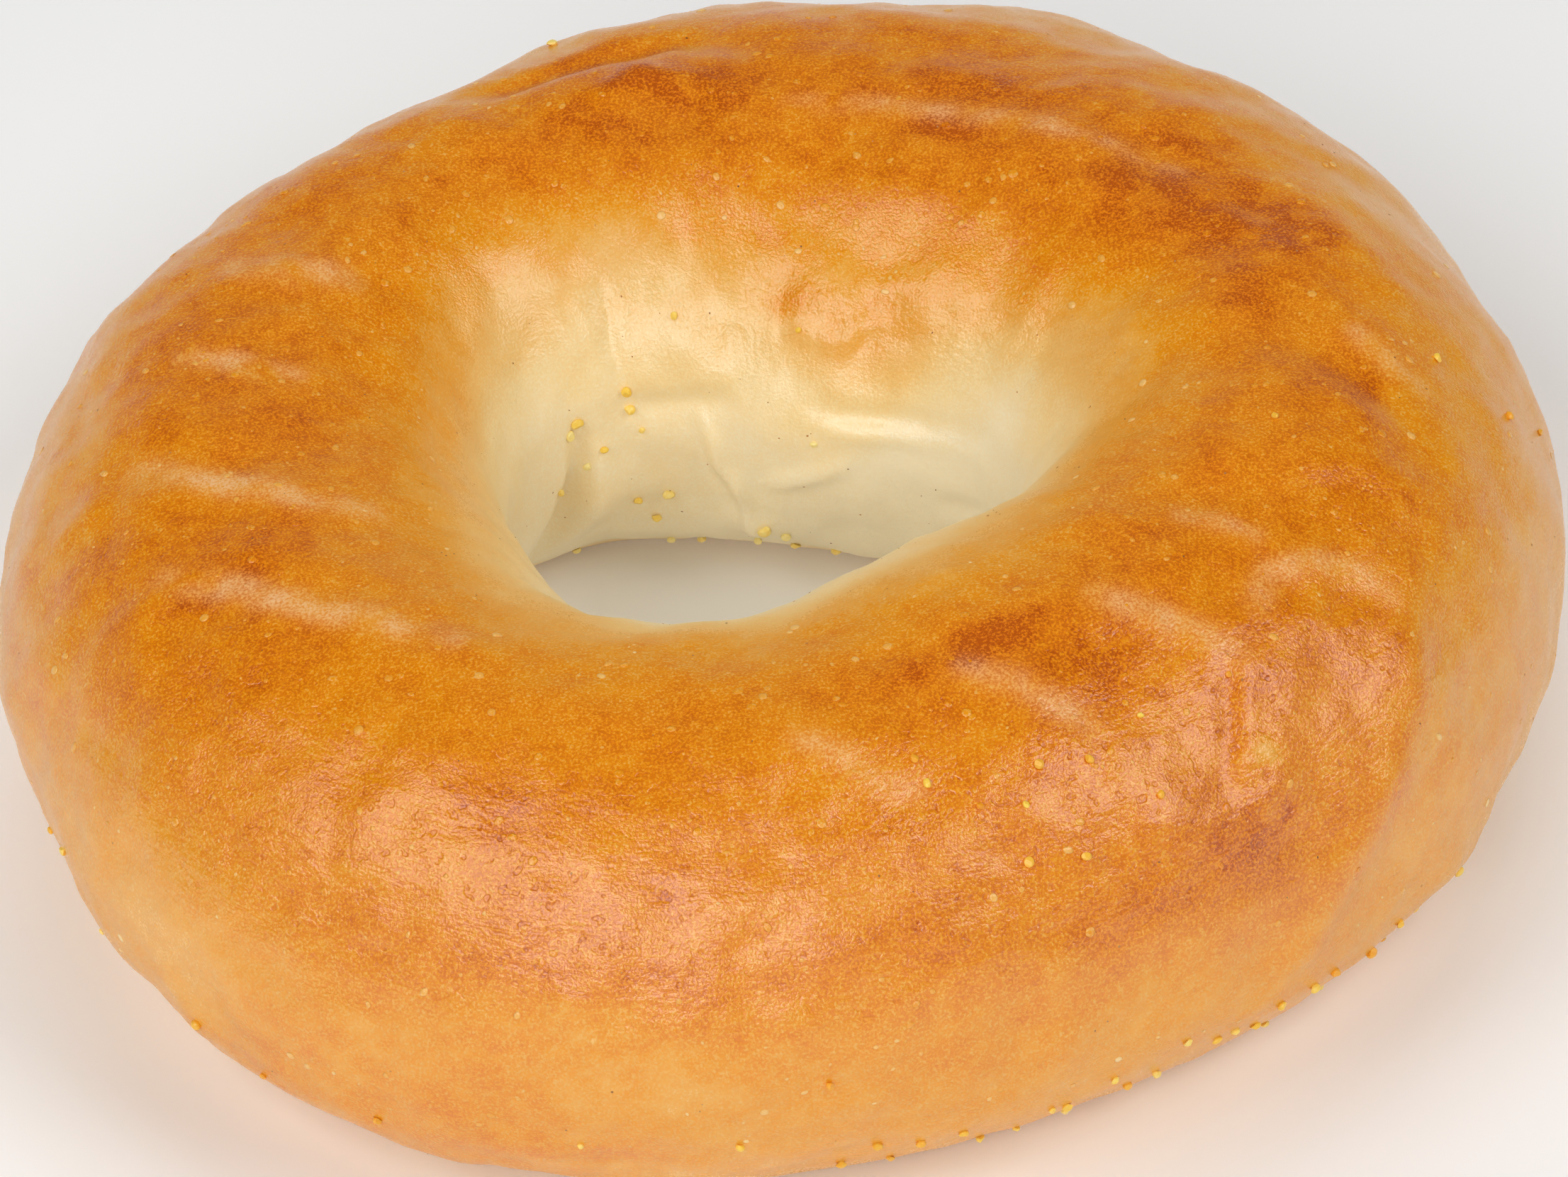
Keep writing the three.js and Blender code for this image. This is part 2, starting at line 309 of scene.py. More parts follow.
def ring_and_section(points):
    """The angles of points on the crust, in degrees."""
    x, y, z = (points - RING_ORIGIN).T
    ring = np.arctan2(y, x)
    middle, half_width, height, widest = dough_sizes(ring)
    rise = (z - widest) / np.where(z >= widest, height - widest, widest * BASE_CUT)
    reach = (np.hypot(x, y) - middle) / half_width
    power = np.where(rise >= 0, UPPER_FULLNESS, LOWER_FULLNESS) / 2
    section = np.arctan2(signed_power(rise, power), signed_power(reach, power))
    return np.degrees(ring) % 360, np.degrees(section) % 360


def nearness(points, route, width, taper=1):
    """How near each point is to a line that runs over the dough through places given as (ring, section).

    It is 1 on the middle of the line, and fades across its width, in millimetres, and towards its ends,
    where a lower taper makes it fade later.
    """
    corners = dough_point(*np.array(route, float).T)
    lengths = np.linalg.norm(np.diff(corners, axis=0), axis=1)
    travelled = np.concatenate([[0], np.cumsum(lengths)]) / lengths.sum()
    nearest = np.full(len(points), np.inf)
    reached = np.zeros(len(points))
    for start, end, share_before, share_after in zip(corners, corners[1:], travelled, travelled[1:]):
        along = end - start
        share = np.clip((points - start) @ along / (along @ along), 0, 1)
        gap = np.linalg.norm(points - start - share[:, None] * along, axis=1)
        closer = gap < nearest
        nearest[closer] = gap[closer]
        reached[closer] = (share_before + (share_after - share_before) * share)[closer]
    return bell(nearest / (width * MM)) * (4 * reached * (1 - reached)) ** taper


def bell(value):
    return np.exp(-(value**2))


def coordinates(mesh):
    flat = np.empty(len(mesh.vertices) * 3)
    mesh.vertices.foreach_get("co", flat)
    return flat.reshape(-1, 3)


def deselect_all():
    for thing in bpy.context.selected_objects:
        thing.select_set(False)


def apply_modifier(piece, name, kind, **settings):
    modifier = piece.modifiers.new(name, kind)
    for setting, value in settings.items():
        setattr(modifier, setting, value)
    bpy.context.view_layer.objects.active = piece
    bpy.ops.object.modifier_apply(modifier=name)


# The crust

RING_LOOPS = 60
SECTION_POINTS = 26
LEAST_PUSH = 0.002  # of the deepest: points that a push would move less than this stay where they are
# A subdivided loop of so many points ends up this much inside its corners
SECTION_SHRINK = (2 + math.cos(TURN / SECTION_POINTS)) / 3
RING_SHRINK = (2 + math.cos(TURN / RING_LOOPS)) / 3


def select_points(mesh, chosen):
    """Selects, in edit mode, the vertices whose numbers are chosen."""
    form = bmesh.from_edit_mesh(mesh)
    for vertex in form.verts:
        vertex.select_set(vertex.index in chosen)
    form.select_flush_mode()
    bmesh.update_edit_mesh(mesh)


def shape_dough():
    """A torus whose rows are moved to the section's fullness, and its loops to their own size and place."""
    mean_outer, mean_hole = OUTER_RADIUS[0] * MM, HOLE_RADIUS[0] * MM
    ring_radius, rope_radius = (mean_outer + mean_hole) / 2, (mean_outer - mean_hole) / 2
    deselect_all()
    bpy.ops.mesh.primitive_torus_add(
        major_segments=RING_LOOPS,
        minor_segments=SECTION_POINTS,
        major_radius=ring_radius,
        minor_radius=rope_radius,
    )
    crust = bpy.context.object
    crust.name = crust.data.name = "crust"
    mesh = crust.data
    bpy.ops.object.mode_set(mode="EDIT")
    bpy.ops.mesh.select_mode(type="VERT")
    for row in range(SECTION_POINTS):
        section = TURN * row / SECTION_POINTS
        reach, rise = section_curve(section)
        select_points(mesh, set(range(row, RING_LOOPS * SECTION_POINTS, SECTION_POINTS)))
        out = (ring_radius + rope_radius * reach) / (ring_radius + rope_radius * math.cos(section))
        # The first row and the one across from it are level, so they have no height to change
        up = rise / math.sin(section) if row % (SECTION_POINTS / 2) else 1
        bpy.ops.transform.resize(value=(out, out, up), center_override=(0, 0, 0))
    for loop in range(RING_LOOPS):
        ring = TURN * loop / RING_LOOPS
        middle, half_width, height, widest = dough_sizes(ring)
        across = Vector((math.cos(ring), math.sin(ring), 0))
        wide = half_width / rope_radius / SECTION_SHRINK
        high, deep = (size / rope_radius / SECTION_SHRINK for size in (height - widest, widest * BASE_CUT))
        first = loop * SECTION_POINTS
        select_points(mesh, set(range(first, first + SECTION_POINTS)))
        bpy.ops.transform.resize(value=(wide, wide, high), center_override=across * ring_radius)
        select_points(mesh, set(range(first + SECTION_POINTS // 2 + 1, first + SECTION_POINTS)))
        bpy.ops.transform.resize(value=(1, 1, deep / high), center_override=across * ring_radius)
        select_points(mesh, set(range(first, first + SECTION_POINTS)))
        bpy.ops.transform.translate(value=across * (middle - ring_radius) + Vector((0, 0, widest)))
    bpy.ops.mesh.select_all(action="SELECT")
    bpy.ops.transform.resize(value=(1 / RING_SHRINK, 1 / RING_SHRINK, 1), center_override=(0, 0, 0))
    bpy.ops.transform.translate(value=RING_ORIGIN)
    bpy.ops.object.mode_set(mode="OBJECT")
    return crust


def rest_on_board(crust):
    """Flattens what would lie below the board."""
    below = np.nonzero(coordinates(crust.data)[:, 2] < 0)[0]
    bpy.ops.object.mode_set(mode="EDIT")
    select_points(crust.data, set(below.tolist()))
    bpy.ops.transform.resize(value=(1, 1, 0), center_override=(0, 0, 0))
    bpy.ops.object.mode_set(mode="OBJECT")


def push(crust, name, heights):
    """Moves the crust's points out along its normals by their heights, and in where a height is below 0."""
    for side, sign in (("out", 1), ("in", -1)):
        deepest = float((sign * heights).max())
        if deepest <= 0:
            continue
        group = f"{name} {side}"
        weights = sign * heights / deepest
        paint = crust.vertex_groups.new(name=group).add
        for index in np.nonzero(weights > LEAST_PUSH)[0]:
            paint([int(index)], float(weights[index]), "REPLACE")
        apply_modifier(crust, name, "DISPLACE", strength=sign * deepest, mid_level=0, vertex_group=group)
        crust.vertex_groups.remove(crust.vertex_groups[group])


def noise_at(places, size, seed, detail=2):
    """Smooth noise from about -1 to 1, with humps of about the size given."""
    shift = Vector((seed, 2 * seed, 3 * seed))
    return np.array([noise.fractal(Vector(place) / size + shift, 1.0, 2.0, detail) for place in places])


def fade(value, start, end):
    """0 before start, 1 after end, and smooth between them."""
    share = np.clip((value - start) / (end - start), 0, 1)
    return share * share * (3 - 2 * share)


def band(section, low, high, soft):
    return fade(section, low - soft, low + soft) * (1 - fade(section, high - soft, high + soft))


def past_turn(angles, first):
    """The same angles, counted from first instead of from 0."""
    return (angles - first) % 360 + first


def along_dough(ring, section):
    """Coordinates that follow the dough, on which a noise is drawn out along the ring."""
    ring = np.radians(ring)
    squeezed = SQUEEZED_RADIUS * MM
    unrolled = np.radians(past_turn(section, -90)) * ROPE_RADIUS * MM
    return np.stack([squeezed * np.cos(ring), squeezed * np.sin(ring), unrolled], -1)


def leathery_at(ring, section):
    """How leathery the crust is: 1 on the front shoulder, and less on the inner crest and elsewhere."""
    shoulder = band(past_turn(section, -90), *SHOULDER_SECTION) * band(ring, *SHOULDER_RING)
    crest = band(section, *CREST_SECTION) * band(past_turn(ring, -40), *CREST_RING)
    return LEAST_LEATHERY + (1 - LEAST_LEATHERY) * np.maximum(shoulder, CREST_SHARE * crest)


def relief(points, ring, section, leathery):
    """How far out of the smooth dough the crust lies at each point, in metres."""
    heights = np.zeros(len(points))
    for route, width, height in CREASES + SKIN_FOLDS:
        heights += height * MM * nearness(points, route, width)
    for place, width, height in SWELLINGS:
        gap = np.linalg.norm(points - dough_point(*place), axis=1)
        heights += height * MM * bell(gap / (width * MM))
    ridges = sum(RIDGE_HEIGHT * MM * nearness(points, route, width) for route, width, _ in STRETCH_MARKS)
    lumps = sum(height * MM * noise_at(points, size * MM, seed) for height, size, seed in LUMPS)
    height, size, seed = WRINKLES
    wrinkles = height * MM * leathery * noise_at(along_dough(ring, section), size * MM, seed, 3)
    return heights + ridges + lumps + wrinkles


def make_crust():
    crust = shape_dough()
    apply_modifier(crust, "Round", "SUBSURF", levels=2, render_levels=2)
    rest_on_board(crust)
    apply_modifier(crust, "Fine", "SUBSURF", levels=1, render_levels=1)
    points = coordinates(crust.data)
    ring, section = ring_and_section(points)
    edge_low, edge_high = (height * MM for height in BOARD_EDGE)
    above_board = fade(points[:, 2], edge_low, edge_high)
    leathery = leathery_at(ring, section)
    push(crust, "relief", relief(points, ring, section, leathery) * above_board)
    under = 1 - fade(points[:, 2], 0, edge_low)
    depth, size, seed = UNDERSIDE_DENTS
    push(crust, "underside", -(UNDERSIDE_LIFT + depth * noise_at(points, size * MM, seed)) * MM * under)
    store(crust.data, "leathery", leathery * above_board)
    paint_browning(crust, ring, section, points)
    lay = crust.data.attributes.new("lay", "FLOAT_VECTOR", "POINT")
    lay.data.foreach_set("vector", along_dough(ring, section).ravel())
    deselect_all()
    crust.select_set(True)
    bpy.ops.object.shade_smooth()
    return crust


def store(mesh, name, values):
    mesh.attributes.new(name, "FLOAT", "POINT").data.foreach_set("value", np.asarray(values, np.float32))


def round_the_ring(edge, ring):
    """An edge's section angle at each ring angle."""
    at, section = np.array(edge, float).T
    return np.interp(ring, at, section, period=360)


def stepped(steps, angle):
    """The browning at an angle, between steps given as (angle, browning)."""
    at, browning = np.array(steps, float).T
    return np.interp(angle, at, browning)


def within(angle, limits):
    first, last = limits
    return (angle > first) & (angle < last)


def baked_shade(ring, section, shift):
    """How brown the crust is before marks, patches and mottling. The shift, in degrees, moves its edges."""
    brown = stepped(OUTSIDE_STEPS, past_turn(section, -120) - round_the_ring(BROWN_FROM, ring) + shift)
    inner = stepped(INSIDE_STEPS, section - round_the_ring(BROWN_TO, ring) + shift)
    brown = np.where(within(section, INSIDE_RANGE), np.minimum(brown, inner), brown)
    return np.where(within(section, UNDERSIDE_RANGE), stepped(UNDERSIDE_STEPS, section), brown)


def add_patches(brown, points, ring, section, roughness):
    radius = np.hypot(*(points - RING_ORIGIN).T[:2])
    for at_ring, at_section, long, wide, strength in PATCHES:
        turned = np.radians(past_turn(ring, at_ring - 180) - at_ring)
        tilted = np.radians(past_turn(section, at_section - 180) - at_section)
        along = turned * radius / (long * MM)
        across = tilted * PATCH_RADIUS * MM / (wide * MM)
        brown += strength * fade(bell(np.hypot(along, across)) * roughness, 0, 1)


def mottling(places, strength, size, seed):
    return strength * noise_at(places, size * MM, seed)


def paint_browning(crust, ring, section, points):
    """Stores how brown the crust is, and how far its skin is stretched pale, with painted sheen.

    The browning runs from 0, the cream of the hole, to 1, the darkest spots.
    """
    wobble, ragged = (noise_at(points, size * MM, seed, 3) for size, seed in (WOBBLE, RAGGED))
    brown = baked_shade(ring, section, WOBBLE_SHIFT * wobble + RAGGED_SHIFT * ragged)
    stretched = sum(
        strength * nearness(points, route, MARK_WIDTH_SHARE * width, MARK_TAPER)
        for route, width, strength in STRETCH_MARKS
    )
    stretched *= 1 + MARK_WOBBLE * wobble + MARK_RAGGED * ragged
    brown -= MARK_LESS_BROWN * stretched
    add_patches(brown, points, ring, section, 1 + PATCH_RAGGED * ragged + PATCH_WOBBLE * wobble)
    mottled = mottling(points, *FINE_MOTTLING) + mottling(along_dough(ring, section), *DRAWN_MOTTLING)
    mottled_share = LEAST_MOTTLED + (1 - LEAST_MOTTLED) * fade(brown, *MOTTLED_FROM)
    brown += mottled_share * (mottled + RAGGED_MOTTLING * ragged)
    brown += mottling(points, *BROAD_MOTTLING)
    store(crust.data, "browning", np.clip(brown, 0, 1))
    # How strongly the peach of the stretch marks shows: their paler skin and a painted sheen
    store(crust.data, "stretched", MARK_PALENESS_AND_SHEEN * stretched)


# Shader maths and nodes


class Wire:
    """A socket of a material's nodes. Sums written with it add Math nodes."""

    def __init__(self, finish, socket):
        self.finish = finish
        self.socket = socket

    def maths(self, operation, *values):
        return self.finish.node("ShaderNodeMath", {"operation": operation}, dict(enumerate(values)))

    def __add__(self, other):
        return self.maths("ADD", self, other)

    def __sub__(self, other):
        return self.maths("SUBTRACT", self, other)

    def __rsub__(self, other):
        return self.maths("SUBTRACT", other, self)

    def __mul__(self, other):
        return self.maths("MULTIPLY", self, other)

    __rmul__ = __mul__

    def span(self, low, high, to_low=0.0, to_high=1.0):
        """The value mapped from one range to another, and held within it."""
        values = {"Value": self, 1: low, 2: high, 3: to_low, 4: to_high}
        return self.finish.node("ShaderNodeMapRange", {"interpolation_type": "SMOOTHSTEP"}, values)


class Finish:
    """A material and the nodes it is made of."""

    def __init__(self, name):
        self.material = bpy.data.materials.new(name)
        self.material.use_nodes = True
        self.tree = self.material.node_tree
        self.tree.nodes.clear()

    def node(self, kind, settings, values, output=0):
        """A node with its settings, and with values or wires on its sockets by name or number."""
        made = self.tree.nodes.new(kind)
        for setting, value in settings.items():
            if setting == "stops":
                set_ramp(made.color_ramp, value)
            else:
                setattr(made, setting, value)
        for socket, value in values.items():
            if isinstance(value, Wire):
                self.tree.links.new(value.socket, made.inputs[socket])
            else:
                made.inputs[socket].default_value = value
        return Wire(self, made.outputs[output])

    def attribute(self, name, output="Fac"):
        settings = {"attribute_type": "GEOMETRY", "attribute_name": name}
        return self.node("ShaderNodeAttribute", settings, {}, output)

    def place(self):
        return self.node("ShaderNodeTexCoord", {}, {}, "Object")

    def noise(self, where, size, detail=2.0, roughness=0.5):
        """Noise from 0 to 1, with humps of about the size given."""
        values = {"Vector": where, "Scale": 1 / size, "Detail": detail, "Roughness": roughness}
        return self.node("ShaderNodeTexNoise", {"noise_dimensions": "3D"}, values)

    def blend(self, share, one, other):
        settings = {"data_type": "RGBA", "blend_type": "MIX"}
        return self.node("ShaderNodeMix", settings, {0: share, 6: one, 7: other}, 2)

    def ramp(self, value, stops):
        return self.node("ShaderNodeValToRGB", {"stops": stops}, {0: value})

    def bump(self, height, distance, strength):
        values = {"Height": height, "Distance": distance, "Strength": strength}
        return self.node("ShaderNodeBump", {}, values)

    def surface(self, values):
        """Ends the material in a shader with these values, and returns it."""
        shader = self.node("ShaderNodeBsdfPrincipled", {}, values)
        end = self.tree.nodes.new("ShaderNodeOutputMaterial")
        self.tree.links.new(shader.socket, end.inputs["Surface"])
        return self.material


def set_ramp(ramp, stops):
    """A ramp's stops, as (place, colour)."""
    while len(ramp.elements) < len(stops):
        ramp.elements.new(1)
    for element, (place, shade) in zip(ramp.elements, stops):
        element.position = place
        element.color = shade


def colour(red, green, blue):
    """A colour from its 0 to 255 screen values."""
    return (*((part / 255) ** 2.2 for part in (red, green, blue)), 1)


# Finishes

PALE_CREAM = colour(255, 243, 208)
CREAM = colour(253, 226, 166)
STRAW = colour(248, 200, 118)
GOLD = colour(244, 172, 68)
AMBER = colour(241, 153, 14)
CRUST_BROWN = colour(233, 130, 2)
DARK_BROWN = colour(209, 105, 0)
BURNT = colour(188, 86, 0)
# Peach of the stretch marks: their paler skin, with a painted sheen of light on their ridges
STRETCHED_SKIN_AND_SHEEN = colour(252, 196, 138)
# The skin's colours as it browns
BAKED_COLOURS = [
    (0.0, PALE_CREAM), (0.16, CREAM), (0.30, STRAW), (0.46, GOLD), (0.61, AMBER), (0.78, CRUST_BROWN),
    (0.94, DARK_BROWN), (1.0, BURNT),
]
# The cornmeal's and the bran's colours as they toast
MEAL_COLOURS = [
    (0.0, colour(255, 238, 156)), (0.3, colour(255, 212, 76)), (0.7, colour(244, 156, 26)),
    (1.0, colour(196, 104, 22)),
]
BRAN_COLOURS = [(0.0, colour(206, 140, 70)), (1.0, colour(110, 58, 22))]
FLOOR_COLOURS = (colour(247, 247, 246), colour(250, 250, 249))

# Sizes of the skin's texture, in millimetres
FINE_GRAIN = 0.2
DRAWN_GRAIN = 0.5
ROUGH_PATCH = 3
PIT = 0.9
GRAIN_DEPTH = 0.12
MEAL_SPECKLE = 0.3


def crust_finish():
    finish = Finish("baked crust")
    where = finish.place()
    browning = finish.attribute("browning")
    leathery = finish.attribute("leathery")
    grain = finish.noise(where, FINE_GRAIN * MM, 2.0, 0.6)
    drawn_out = finish.noise(finish.attribute("lay", "Vector"), DRAWN_GRAIN * MM, 2.0)
    roughened = leathery * finish.noise(where, ROUGH_PATCH * MM, 1.0).span(0.35, 0.65, 0.9, 2.6)
    pits = leathery * browning * finish.noise(where, PIT * MM, 1.0).span(0.62, 0.7)
    speckled = browning.span(0.4, 0.75, 0.2, 1.0)
    level = browning + speckled * (0.08 - 0.36 * grain.span(0.38, 0.74)) + 0.1 * pits
    # The stretch marks blend towards a peach that paints their sheen as well as their paler skin
    stretched = finish.attribute("stretched") * grain.span(0.3, 0.65, 0.4, 2.0)
    skin = finish.blend(stretched, finish.ramp(level, BAKED_COLOURS), STRETCHED_SKIN_AND_SHEEN)
    height = grain * browning.span(0.1, 0.6, 0.6, 1.0) + drawn_out * roughened - 1.2 * pits
    return finish.surface({
        "Base Color": skin,
        "Roughness": browning.span(0.2, 0.6, 0.28, 0.2) + 0.08 * grain,
        "Normal": finish.bump(height, GRAIN_DEPTH * MM, 0.5),
        "Specular IOR Level": 0.9,
    })


def cornmeal_finish():
    finish = Finish("cornmeal")
    speckle = 0.3 * (finish.noise(finish.place(), MEAL_SPECKLE * MM) - 0.5)
    return finish.surface({
        "Base Color": finish.ramp(finish.attribute("toast") + speckle, MEAL_COLOURS),
        "Roughness": 0.4,
        "Coat Weight": 0.3,
        "Coat Roughness": 0.25,
    })


def bran_finish():
    finish = Finish("bran")
    shade = finish.ramp(finish.attribute("toast"), BRAN_COLOURS)
    return finish.surface({"Base Color": shade, "Roughness": 0.6})


def floor_finish():
    finish = Finish("studio floor")
    return finish.surface({
        "Base Color": finish.blend(finish.noise(finish.place(), 0.2, 2.0), *FLOOR_COLOURS),
        "Roughness": 0.7,
        "Emission Color": (1, 1, 1, 1),
        "Emission Strength": FLOOR_GLOW,
    })


# Cornmeal, bran and blisters


def chip_grain(number, draw):
    """A chip of maize about 1 across: a ball with flat faces broken off it, and its edges worn."""
    deselect_all()
    bpy.ops.mesh.primitive_ico_sphere_add(subdivisions=2, radius=0.5)
    grain = bpy.context.object
    grain.name = f"grain {number}"
    bpy.ops.object.mode_set(mode="EDIT")
    for _ in range(GRAIN_BREAKS):
        broken = Vector((draw.gauss(0, 1), draw.gauss(0, 1), draw.gauss(0, 1))).normalized()
        bpy.ops.mesh.select_all(action="SELECT")
        bpy.ops.mesh.bisect(
            plane_co=broken * draw.uniform(*GRAIN_BREAK_AT), plane_no=broken, use_fill=True, clear_outer=True
        )
    bpy.ops.object.mode_set(mode="OBJECT")
    apply_modifier(grain, "Worn", "BEVEL", width=0.05, segments=1, limit_method="ANGLE", angle_limit=0.5)
    return grain


def swell_blister():
    """Half a ball 1 across, which is flattened where it is placed."""
    deselect_all()
    bpy.ops.mesh.primitive_uv_sphere_add(segments=10, ring_count=6, radius=0.5)
    blister = bpy.context.object
    bpy.ops.object.mode_set(mode="EDIT")
    bpy.ops.mesh.select_all(action="SELECT")
    bpy.ops.mesh.bisect(plane_co=(0, 0, -0.01), plane_no=(0, 0, 1), use_fill=True, clear_inner=True)
    bpy.ops.object.mode_set(mode="OBJECT")
    deselect_all()
    blister.select_set(True)
    bpy.ops.object.shade_smooth()
    return blister


def flake_bran():
    deselect_all()
    bpy.ops.mesh.primitive_ico_sphere_add(subdivisions=1, radius=0.5)
    return bpy.context.object


class Bits:
    """Small pieces of one kind that lie on the crust, and are joined when all are placed."""

    def __init__(self, name, patterns, crust, draw):
        self.name = name
        self.patterns = patterns
        self.draw = draw
        self.placed = []
        form = bmesh.new()
        form.from_mesh(crust.data)
        self.skin = BVHTree.FromBMesh(form)
        form.free()
        self.corner_of_face = [face.vertices[0] for face in crust.data.polygons]
        browning = np.empty(len(crust.data.vertices), np.float32)
        crust.data.attributes["browning"].data.foreach_get("value", browning)
        self.browning = browning

    def find(self, ring, section):
        """The crust's nearest point, its normal, and how brown it is there."""
        spot, normal, face, _ = self.skin.find_nearest(Vector(dough_point(ring, section)))
        return spot, normal, float(self.browning[self.corner_of_face[face]])

    def place(self, spot, normal, sizes, lift, values):
        """A copy of one of the patterns, with its sizes in metres and its middle so far above the crust."""
        pattern = self.draw.choice(self.patterns)
        piece = pattern.copy()
        piece.data = pattern.data.copy()
        bpy.context.scene.collection.objects.link(piece)
        turn = normal.to_track_quat("Z", "Y") @ Quaternion((0, 0, 1), self.draw.uniform(0, TURN))
        move = Matrix.Translation(spot + normal * lift) @ turn.to_matrix().to_4x4()
        piece.data.transform(move @ Matrix.Diagonal((*sizes, 1)))
        for attribute, value in values.items():
            store(piece.data, attribute, np.full(len(piece.data.vertices), value))
        self.placed.append(piece)

    def join(self, finish):
        for pattern in self.patterns:
            bpy.data.objects.remove(pattern)
        deselect_all()
        for piece in self.placed:
            piece.select_set(True)
        bpy.context.view_layer.objects.active = self.placed[0]
        bpy.ops.object.join()
        joined = bpy.context.object
        joined.name = joined.data.name = self.name
        points = coordinates(joined.data)
        points[:, 2] = np.maximum(points[:, 2], 0)
        joined.data.vertices.foreach_set("co", points.ravel())
        joined.data.update()
        joined.data.materials.clear()
        joined.data.materials.append(finish)
        return joined


def make_cornmeal(crust):
    draw = random.Random(RANDOM_SEED)
    cornmeal = Bits("cornmeal", [chip_grain(number, draw) for number in range(GRAIN_KINDS)], crust, draw)
    wanted = list(SEEN_GRAINS)
    for count, ring_from, ring_to, section_from, section_to, shortest, longest in SCATTERED_GRAINS:
        for step in range(count):
            share = (step + draw.uniform(0.1, 0.9)) / count
            ring = ring_from + (ring_to - ring_from) * share
            section = draw.uniform(section_from, section_to)
            wanted.append((ring, section, draw.uniform(shortest, longest)))
    browned, constant = GRAIN_TOAST
    for ring, section, length in wanted:
        spot, normal, brown = cornmeal.find(ring, section)
        toast = min(1, max(0, browned * brown + constant + draw.uniform(*GRAIN_TOAST_SPREAD)))
        shares = (1, draw.uniform(*GRAIN_WIDTH), draw.uniform(*GRAIN_THICKNESS))
        sizes = [length * MM * share for share in shares]
        cornmeal.place(spot, normal, sizes, GRAIN_LIFT * length * MM, {"toast": toast})
    return cornmeal.join(cornmeal_finish())


def make_blisters(crust, finish):
    """Small domes that the heat raised on the brown of the crust."""
    draw = random.Random(RANDOM_SEED + 1)
    blisters = Bits("blisters", [swell_blister()], crust, draw)
    shortest, longest = BLISTER_LENGTH
    while len(blisters.placed) < BLISTERS:
        spot, normal, brown = blisters.find(draw.uniform(0, 360), draw.uniform(*BLISTER_SECTION))
        if draw.uniform(*BLISTER_BROWN) > brown:
            continue
        length = shortest + (longest - shortest) * draw.random() ** 3
        sizes = [length * MM * share for share in (1, draw.uniform(*BLISTER_WIDTH), BLISTER_HEIGHT)]
        paler = draw.uniform(*BLISTER_PALER)
        blisters.place(spot, normal, sizes, 0, {"browning": brown - paler, "leathery": 0})
    return blisters.join(finish)


def make_bran(crust):
    draw = random.Random(RANDOM_SEED + 2)
    bran = Bits("bran", [flake_bran()], crust, draw)
    for _ in range(BRAN_FLECKS):
        spot, normal, _ = bran.find(draw.uniform(0, 360), draw.uniform(*FLECK_SECTION))
        length = draw.uniform(*FLECK_LENGTH) * MM
        sizes = (length, length * draw.uniform(*FLECK_WIDTH), FLECK_THICKNESS * length)
        bran.place(spot, normal, sizes, 0, {"toast": draw.random()})
    return bran.join(bran_finish())


# Studio

# Softboxes: azimuth and elevation in degrees, width and height in metres, watts, and whether the crust
# mirrors them. Azimuth 0 is in front, and 90 to the right.
SOFTBOXES = {
    "front": (-13, 32, (0.58, 0.36), 2.65, True),
    "left": (-58, 48, (0.6, 0.5), 2.3, True),
    "right": (66, 46, (0.5, 0.5), 2.5, True),
    "back fill": (180, 55, (0.8, 0.8), 2.9, False),
}
SOFTBOX_DISTANCE = 0.9
# The studio's walls and ceiling: how bright they are at a height from 0, level, to 1, overhead
SKY = [(0.0, 0.46), (0.2, 0.19), (0.5, 0.02)]
FLOOR_SIZE = 6
FLOOR_GLOW = 0.07  # evens out the shadow under the bagel


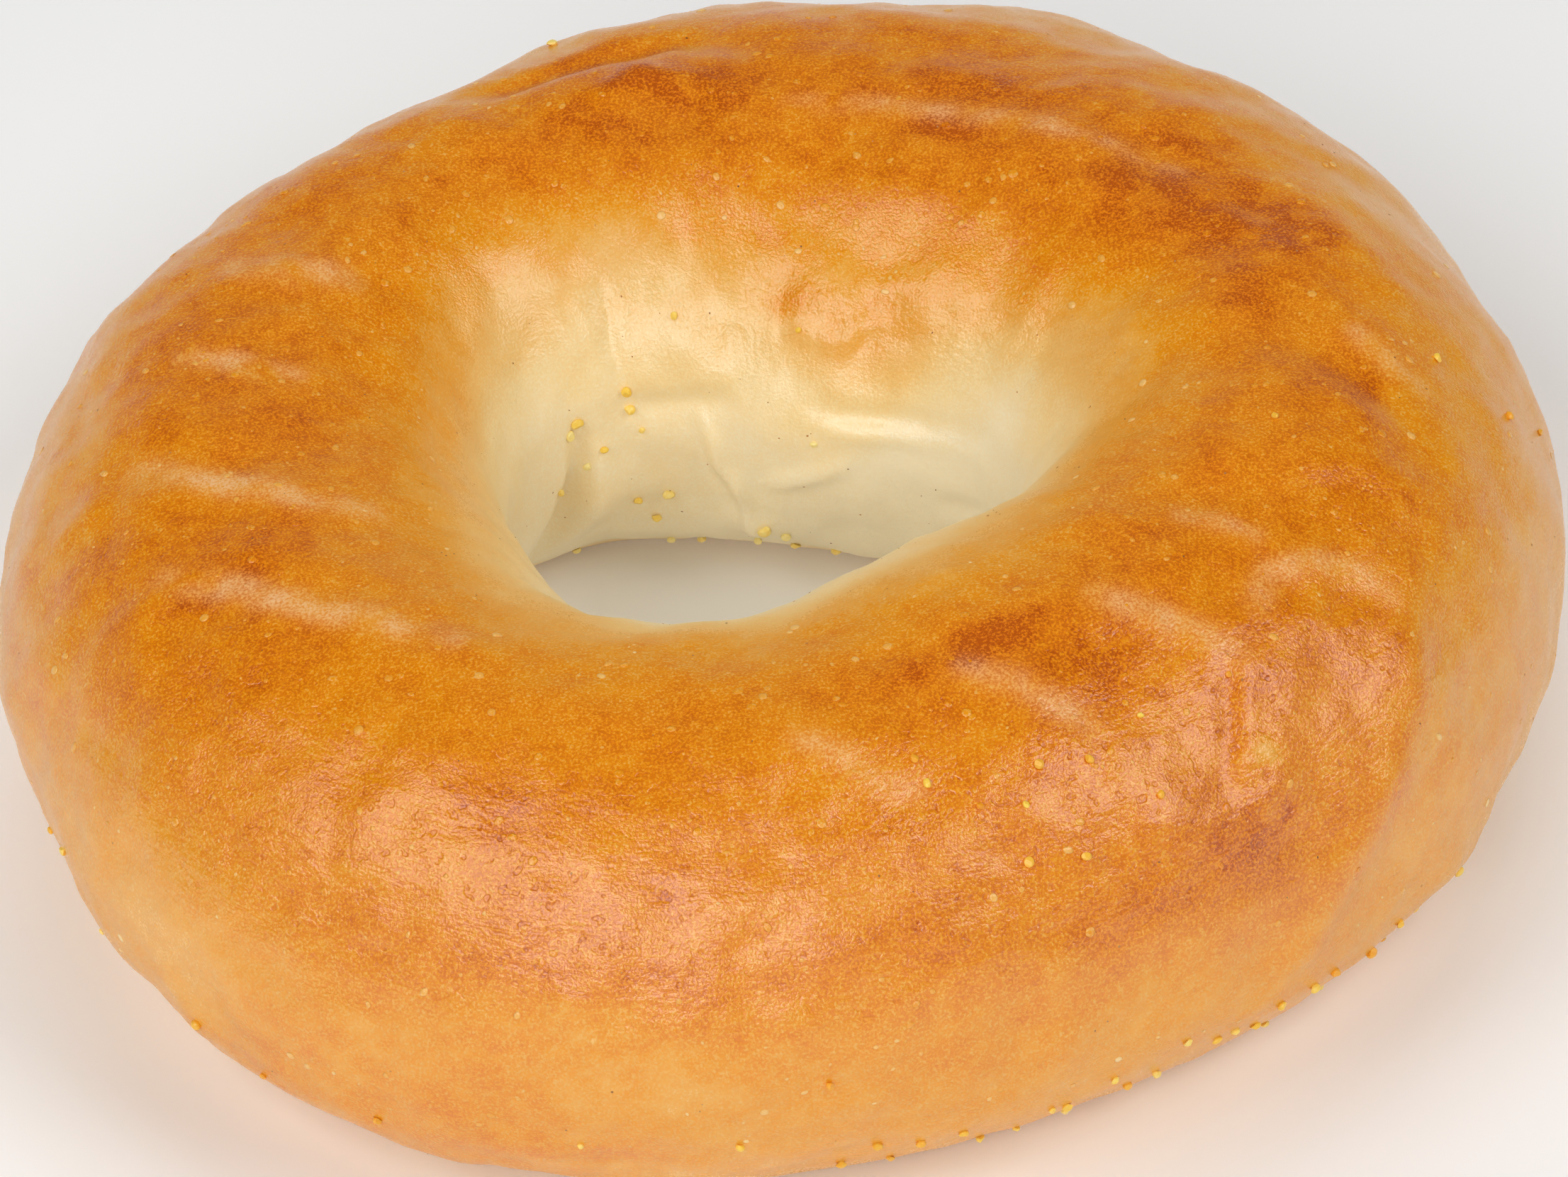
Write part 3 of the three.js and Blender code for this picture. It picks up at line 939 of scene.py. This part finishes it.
def add_camera():
    data = bpy.data.cameras.new("camera")
    data.lens = CAMERA_LENS
    data.clip_start, data.clip_end = 0.05, 10
    camera = bpy.data.objects.new("camera", data)
    bpy.context.scene.collection.objects.link(camera)
    back = Vector((0, -math.cos(CAMERA_ELEVATION), math.sin(CAMERA_ELEVATION)))
    up = Vector((0, math.sin(CAMERA_ELEVATION), math.cos(CAMERA_ELEVATION)))
    target = Vector(RING_ORIGIN) + Vector((0, 0, AIM_HEIGHT))
    aim = target + Vector((AIM_RIGHT, 0, 0)) - up * AIM_DOWN
    eye = target + back * CAMERA_DISTANCE
    facing = (aim - eye).to_track_quat("-Z", "Y").to_matrix().to_4x4()
    camera.matrix_world = Matrix.Translation(eye) @ facing @ Matrix.Rotation(-CAMERA_ROLL, 4, "Z")
    bpy.context.scene.camera = camera


def add_softbox(name, azimuth, elevation, size, power, mirrored):
    """An area light that looks at the bagel."""
    data = bpy.data.lights.new(name, "AREA")
    data.shape = "ELLIPSE"
    data.size, data.size_y = size
    data.energy = power
    light = bpy.data.objects.new(name, data)
    bpy.context.scene.collection.objects.link(light)
    turn, tilt = math.radians(azimuth), math.radians(elevation)
    towards = Vector((math.sin(turn) * math.cos(tilt), -math.cos(turn) * math.cos(tilt), math.sin(tilt)))
    light.location = towards * SOFTBOX_DISTANCE
    light.rotation_euler = towards.to_track_quat("Z", "Y").to_euler()
    light.visible_camera = False
    light.visible_glossy = mirrored


def add_floor():
    deselect_all()
    bpy.ops.mesh.primitive_plane_add(size=FLOOR_SIZE)
    floor = bpy.context.object
    floor.name = "floor"
    floor.data.materials.append(floor_finish())


def light_sky():
    world = bpy.data.worlds.new("studio")
    world.use_nodes = True
    bpy.context.scene.world = world
    nodes, links = world.node_tree.nodes, world.node_tree.links
    direction = nodes.new("ShaderNodeTexCoord")
    split = nodes.new("ShaderNodeSeparateXYZ")
    ramp = nodes.new("ShaderNodeValToRGB")
    set_ramp(ramp.color_ramp, [(height, (shade, shade, shade, 1)) for height, shade in SKY])
    links.new(direction.outputs["Generated"], split.inputs[0])
    links.new(split.outputs["Z"], ramp.inputs[0])
    links.new(ramp.outputs[0], nodes["Background"].inputs["Color"])


def add_studio():
    add_floor()
    light_sky()
    for name, settings in SOFTBOXES.items():
        add_softbox(name, *settings)
    bpy.context.scene.view_settings.view_transform = "Standard"


add_camera()
crust = make_crust()
crust.data.materials.append(crust_finish())
cornmeal = make_cornmeal(crust)
blisters = make_blisters(crust, crust.data.materials[0])
bran = make_bran(crust)
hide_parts("bagel")
for piece in (crust, cornmeal, blisters, bran):
    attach(piece, "root")
add_studio()
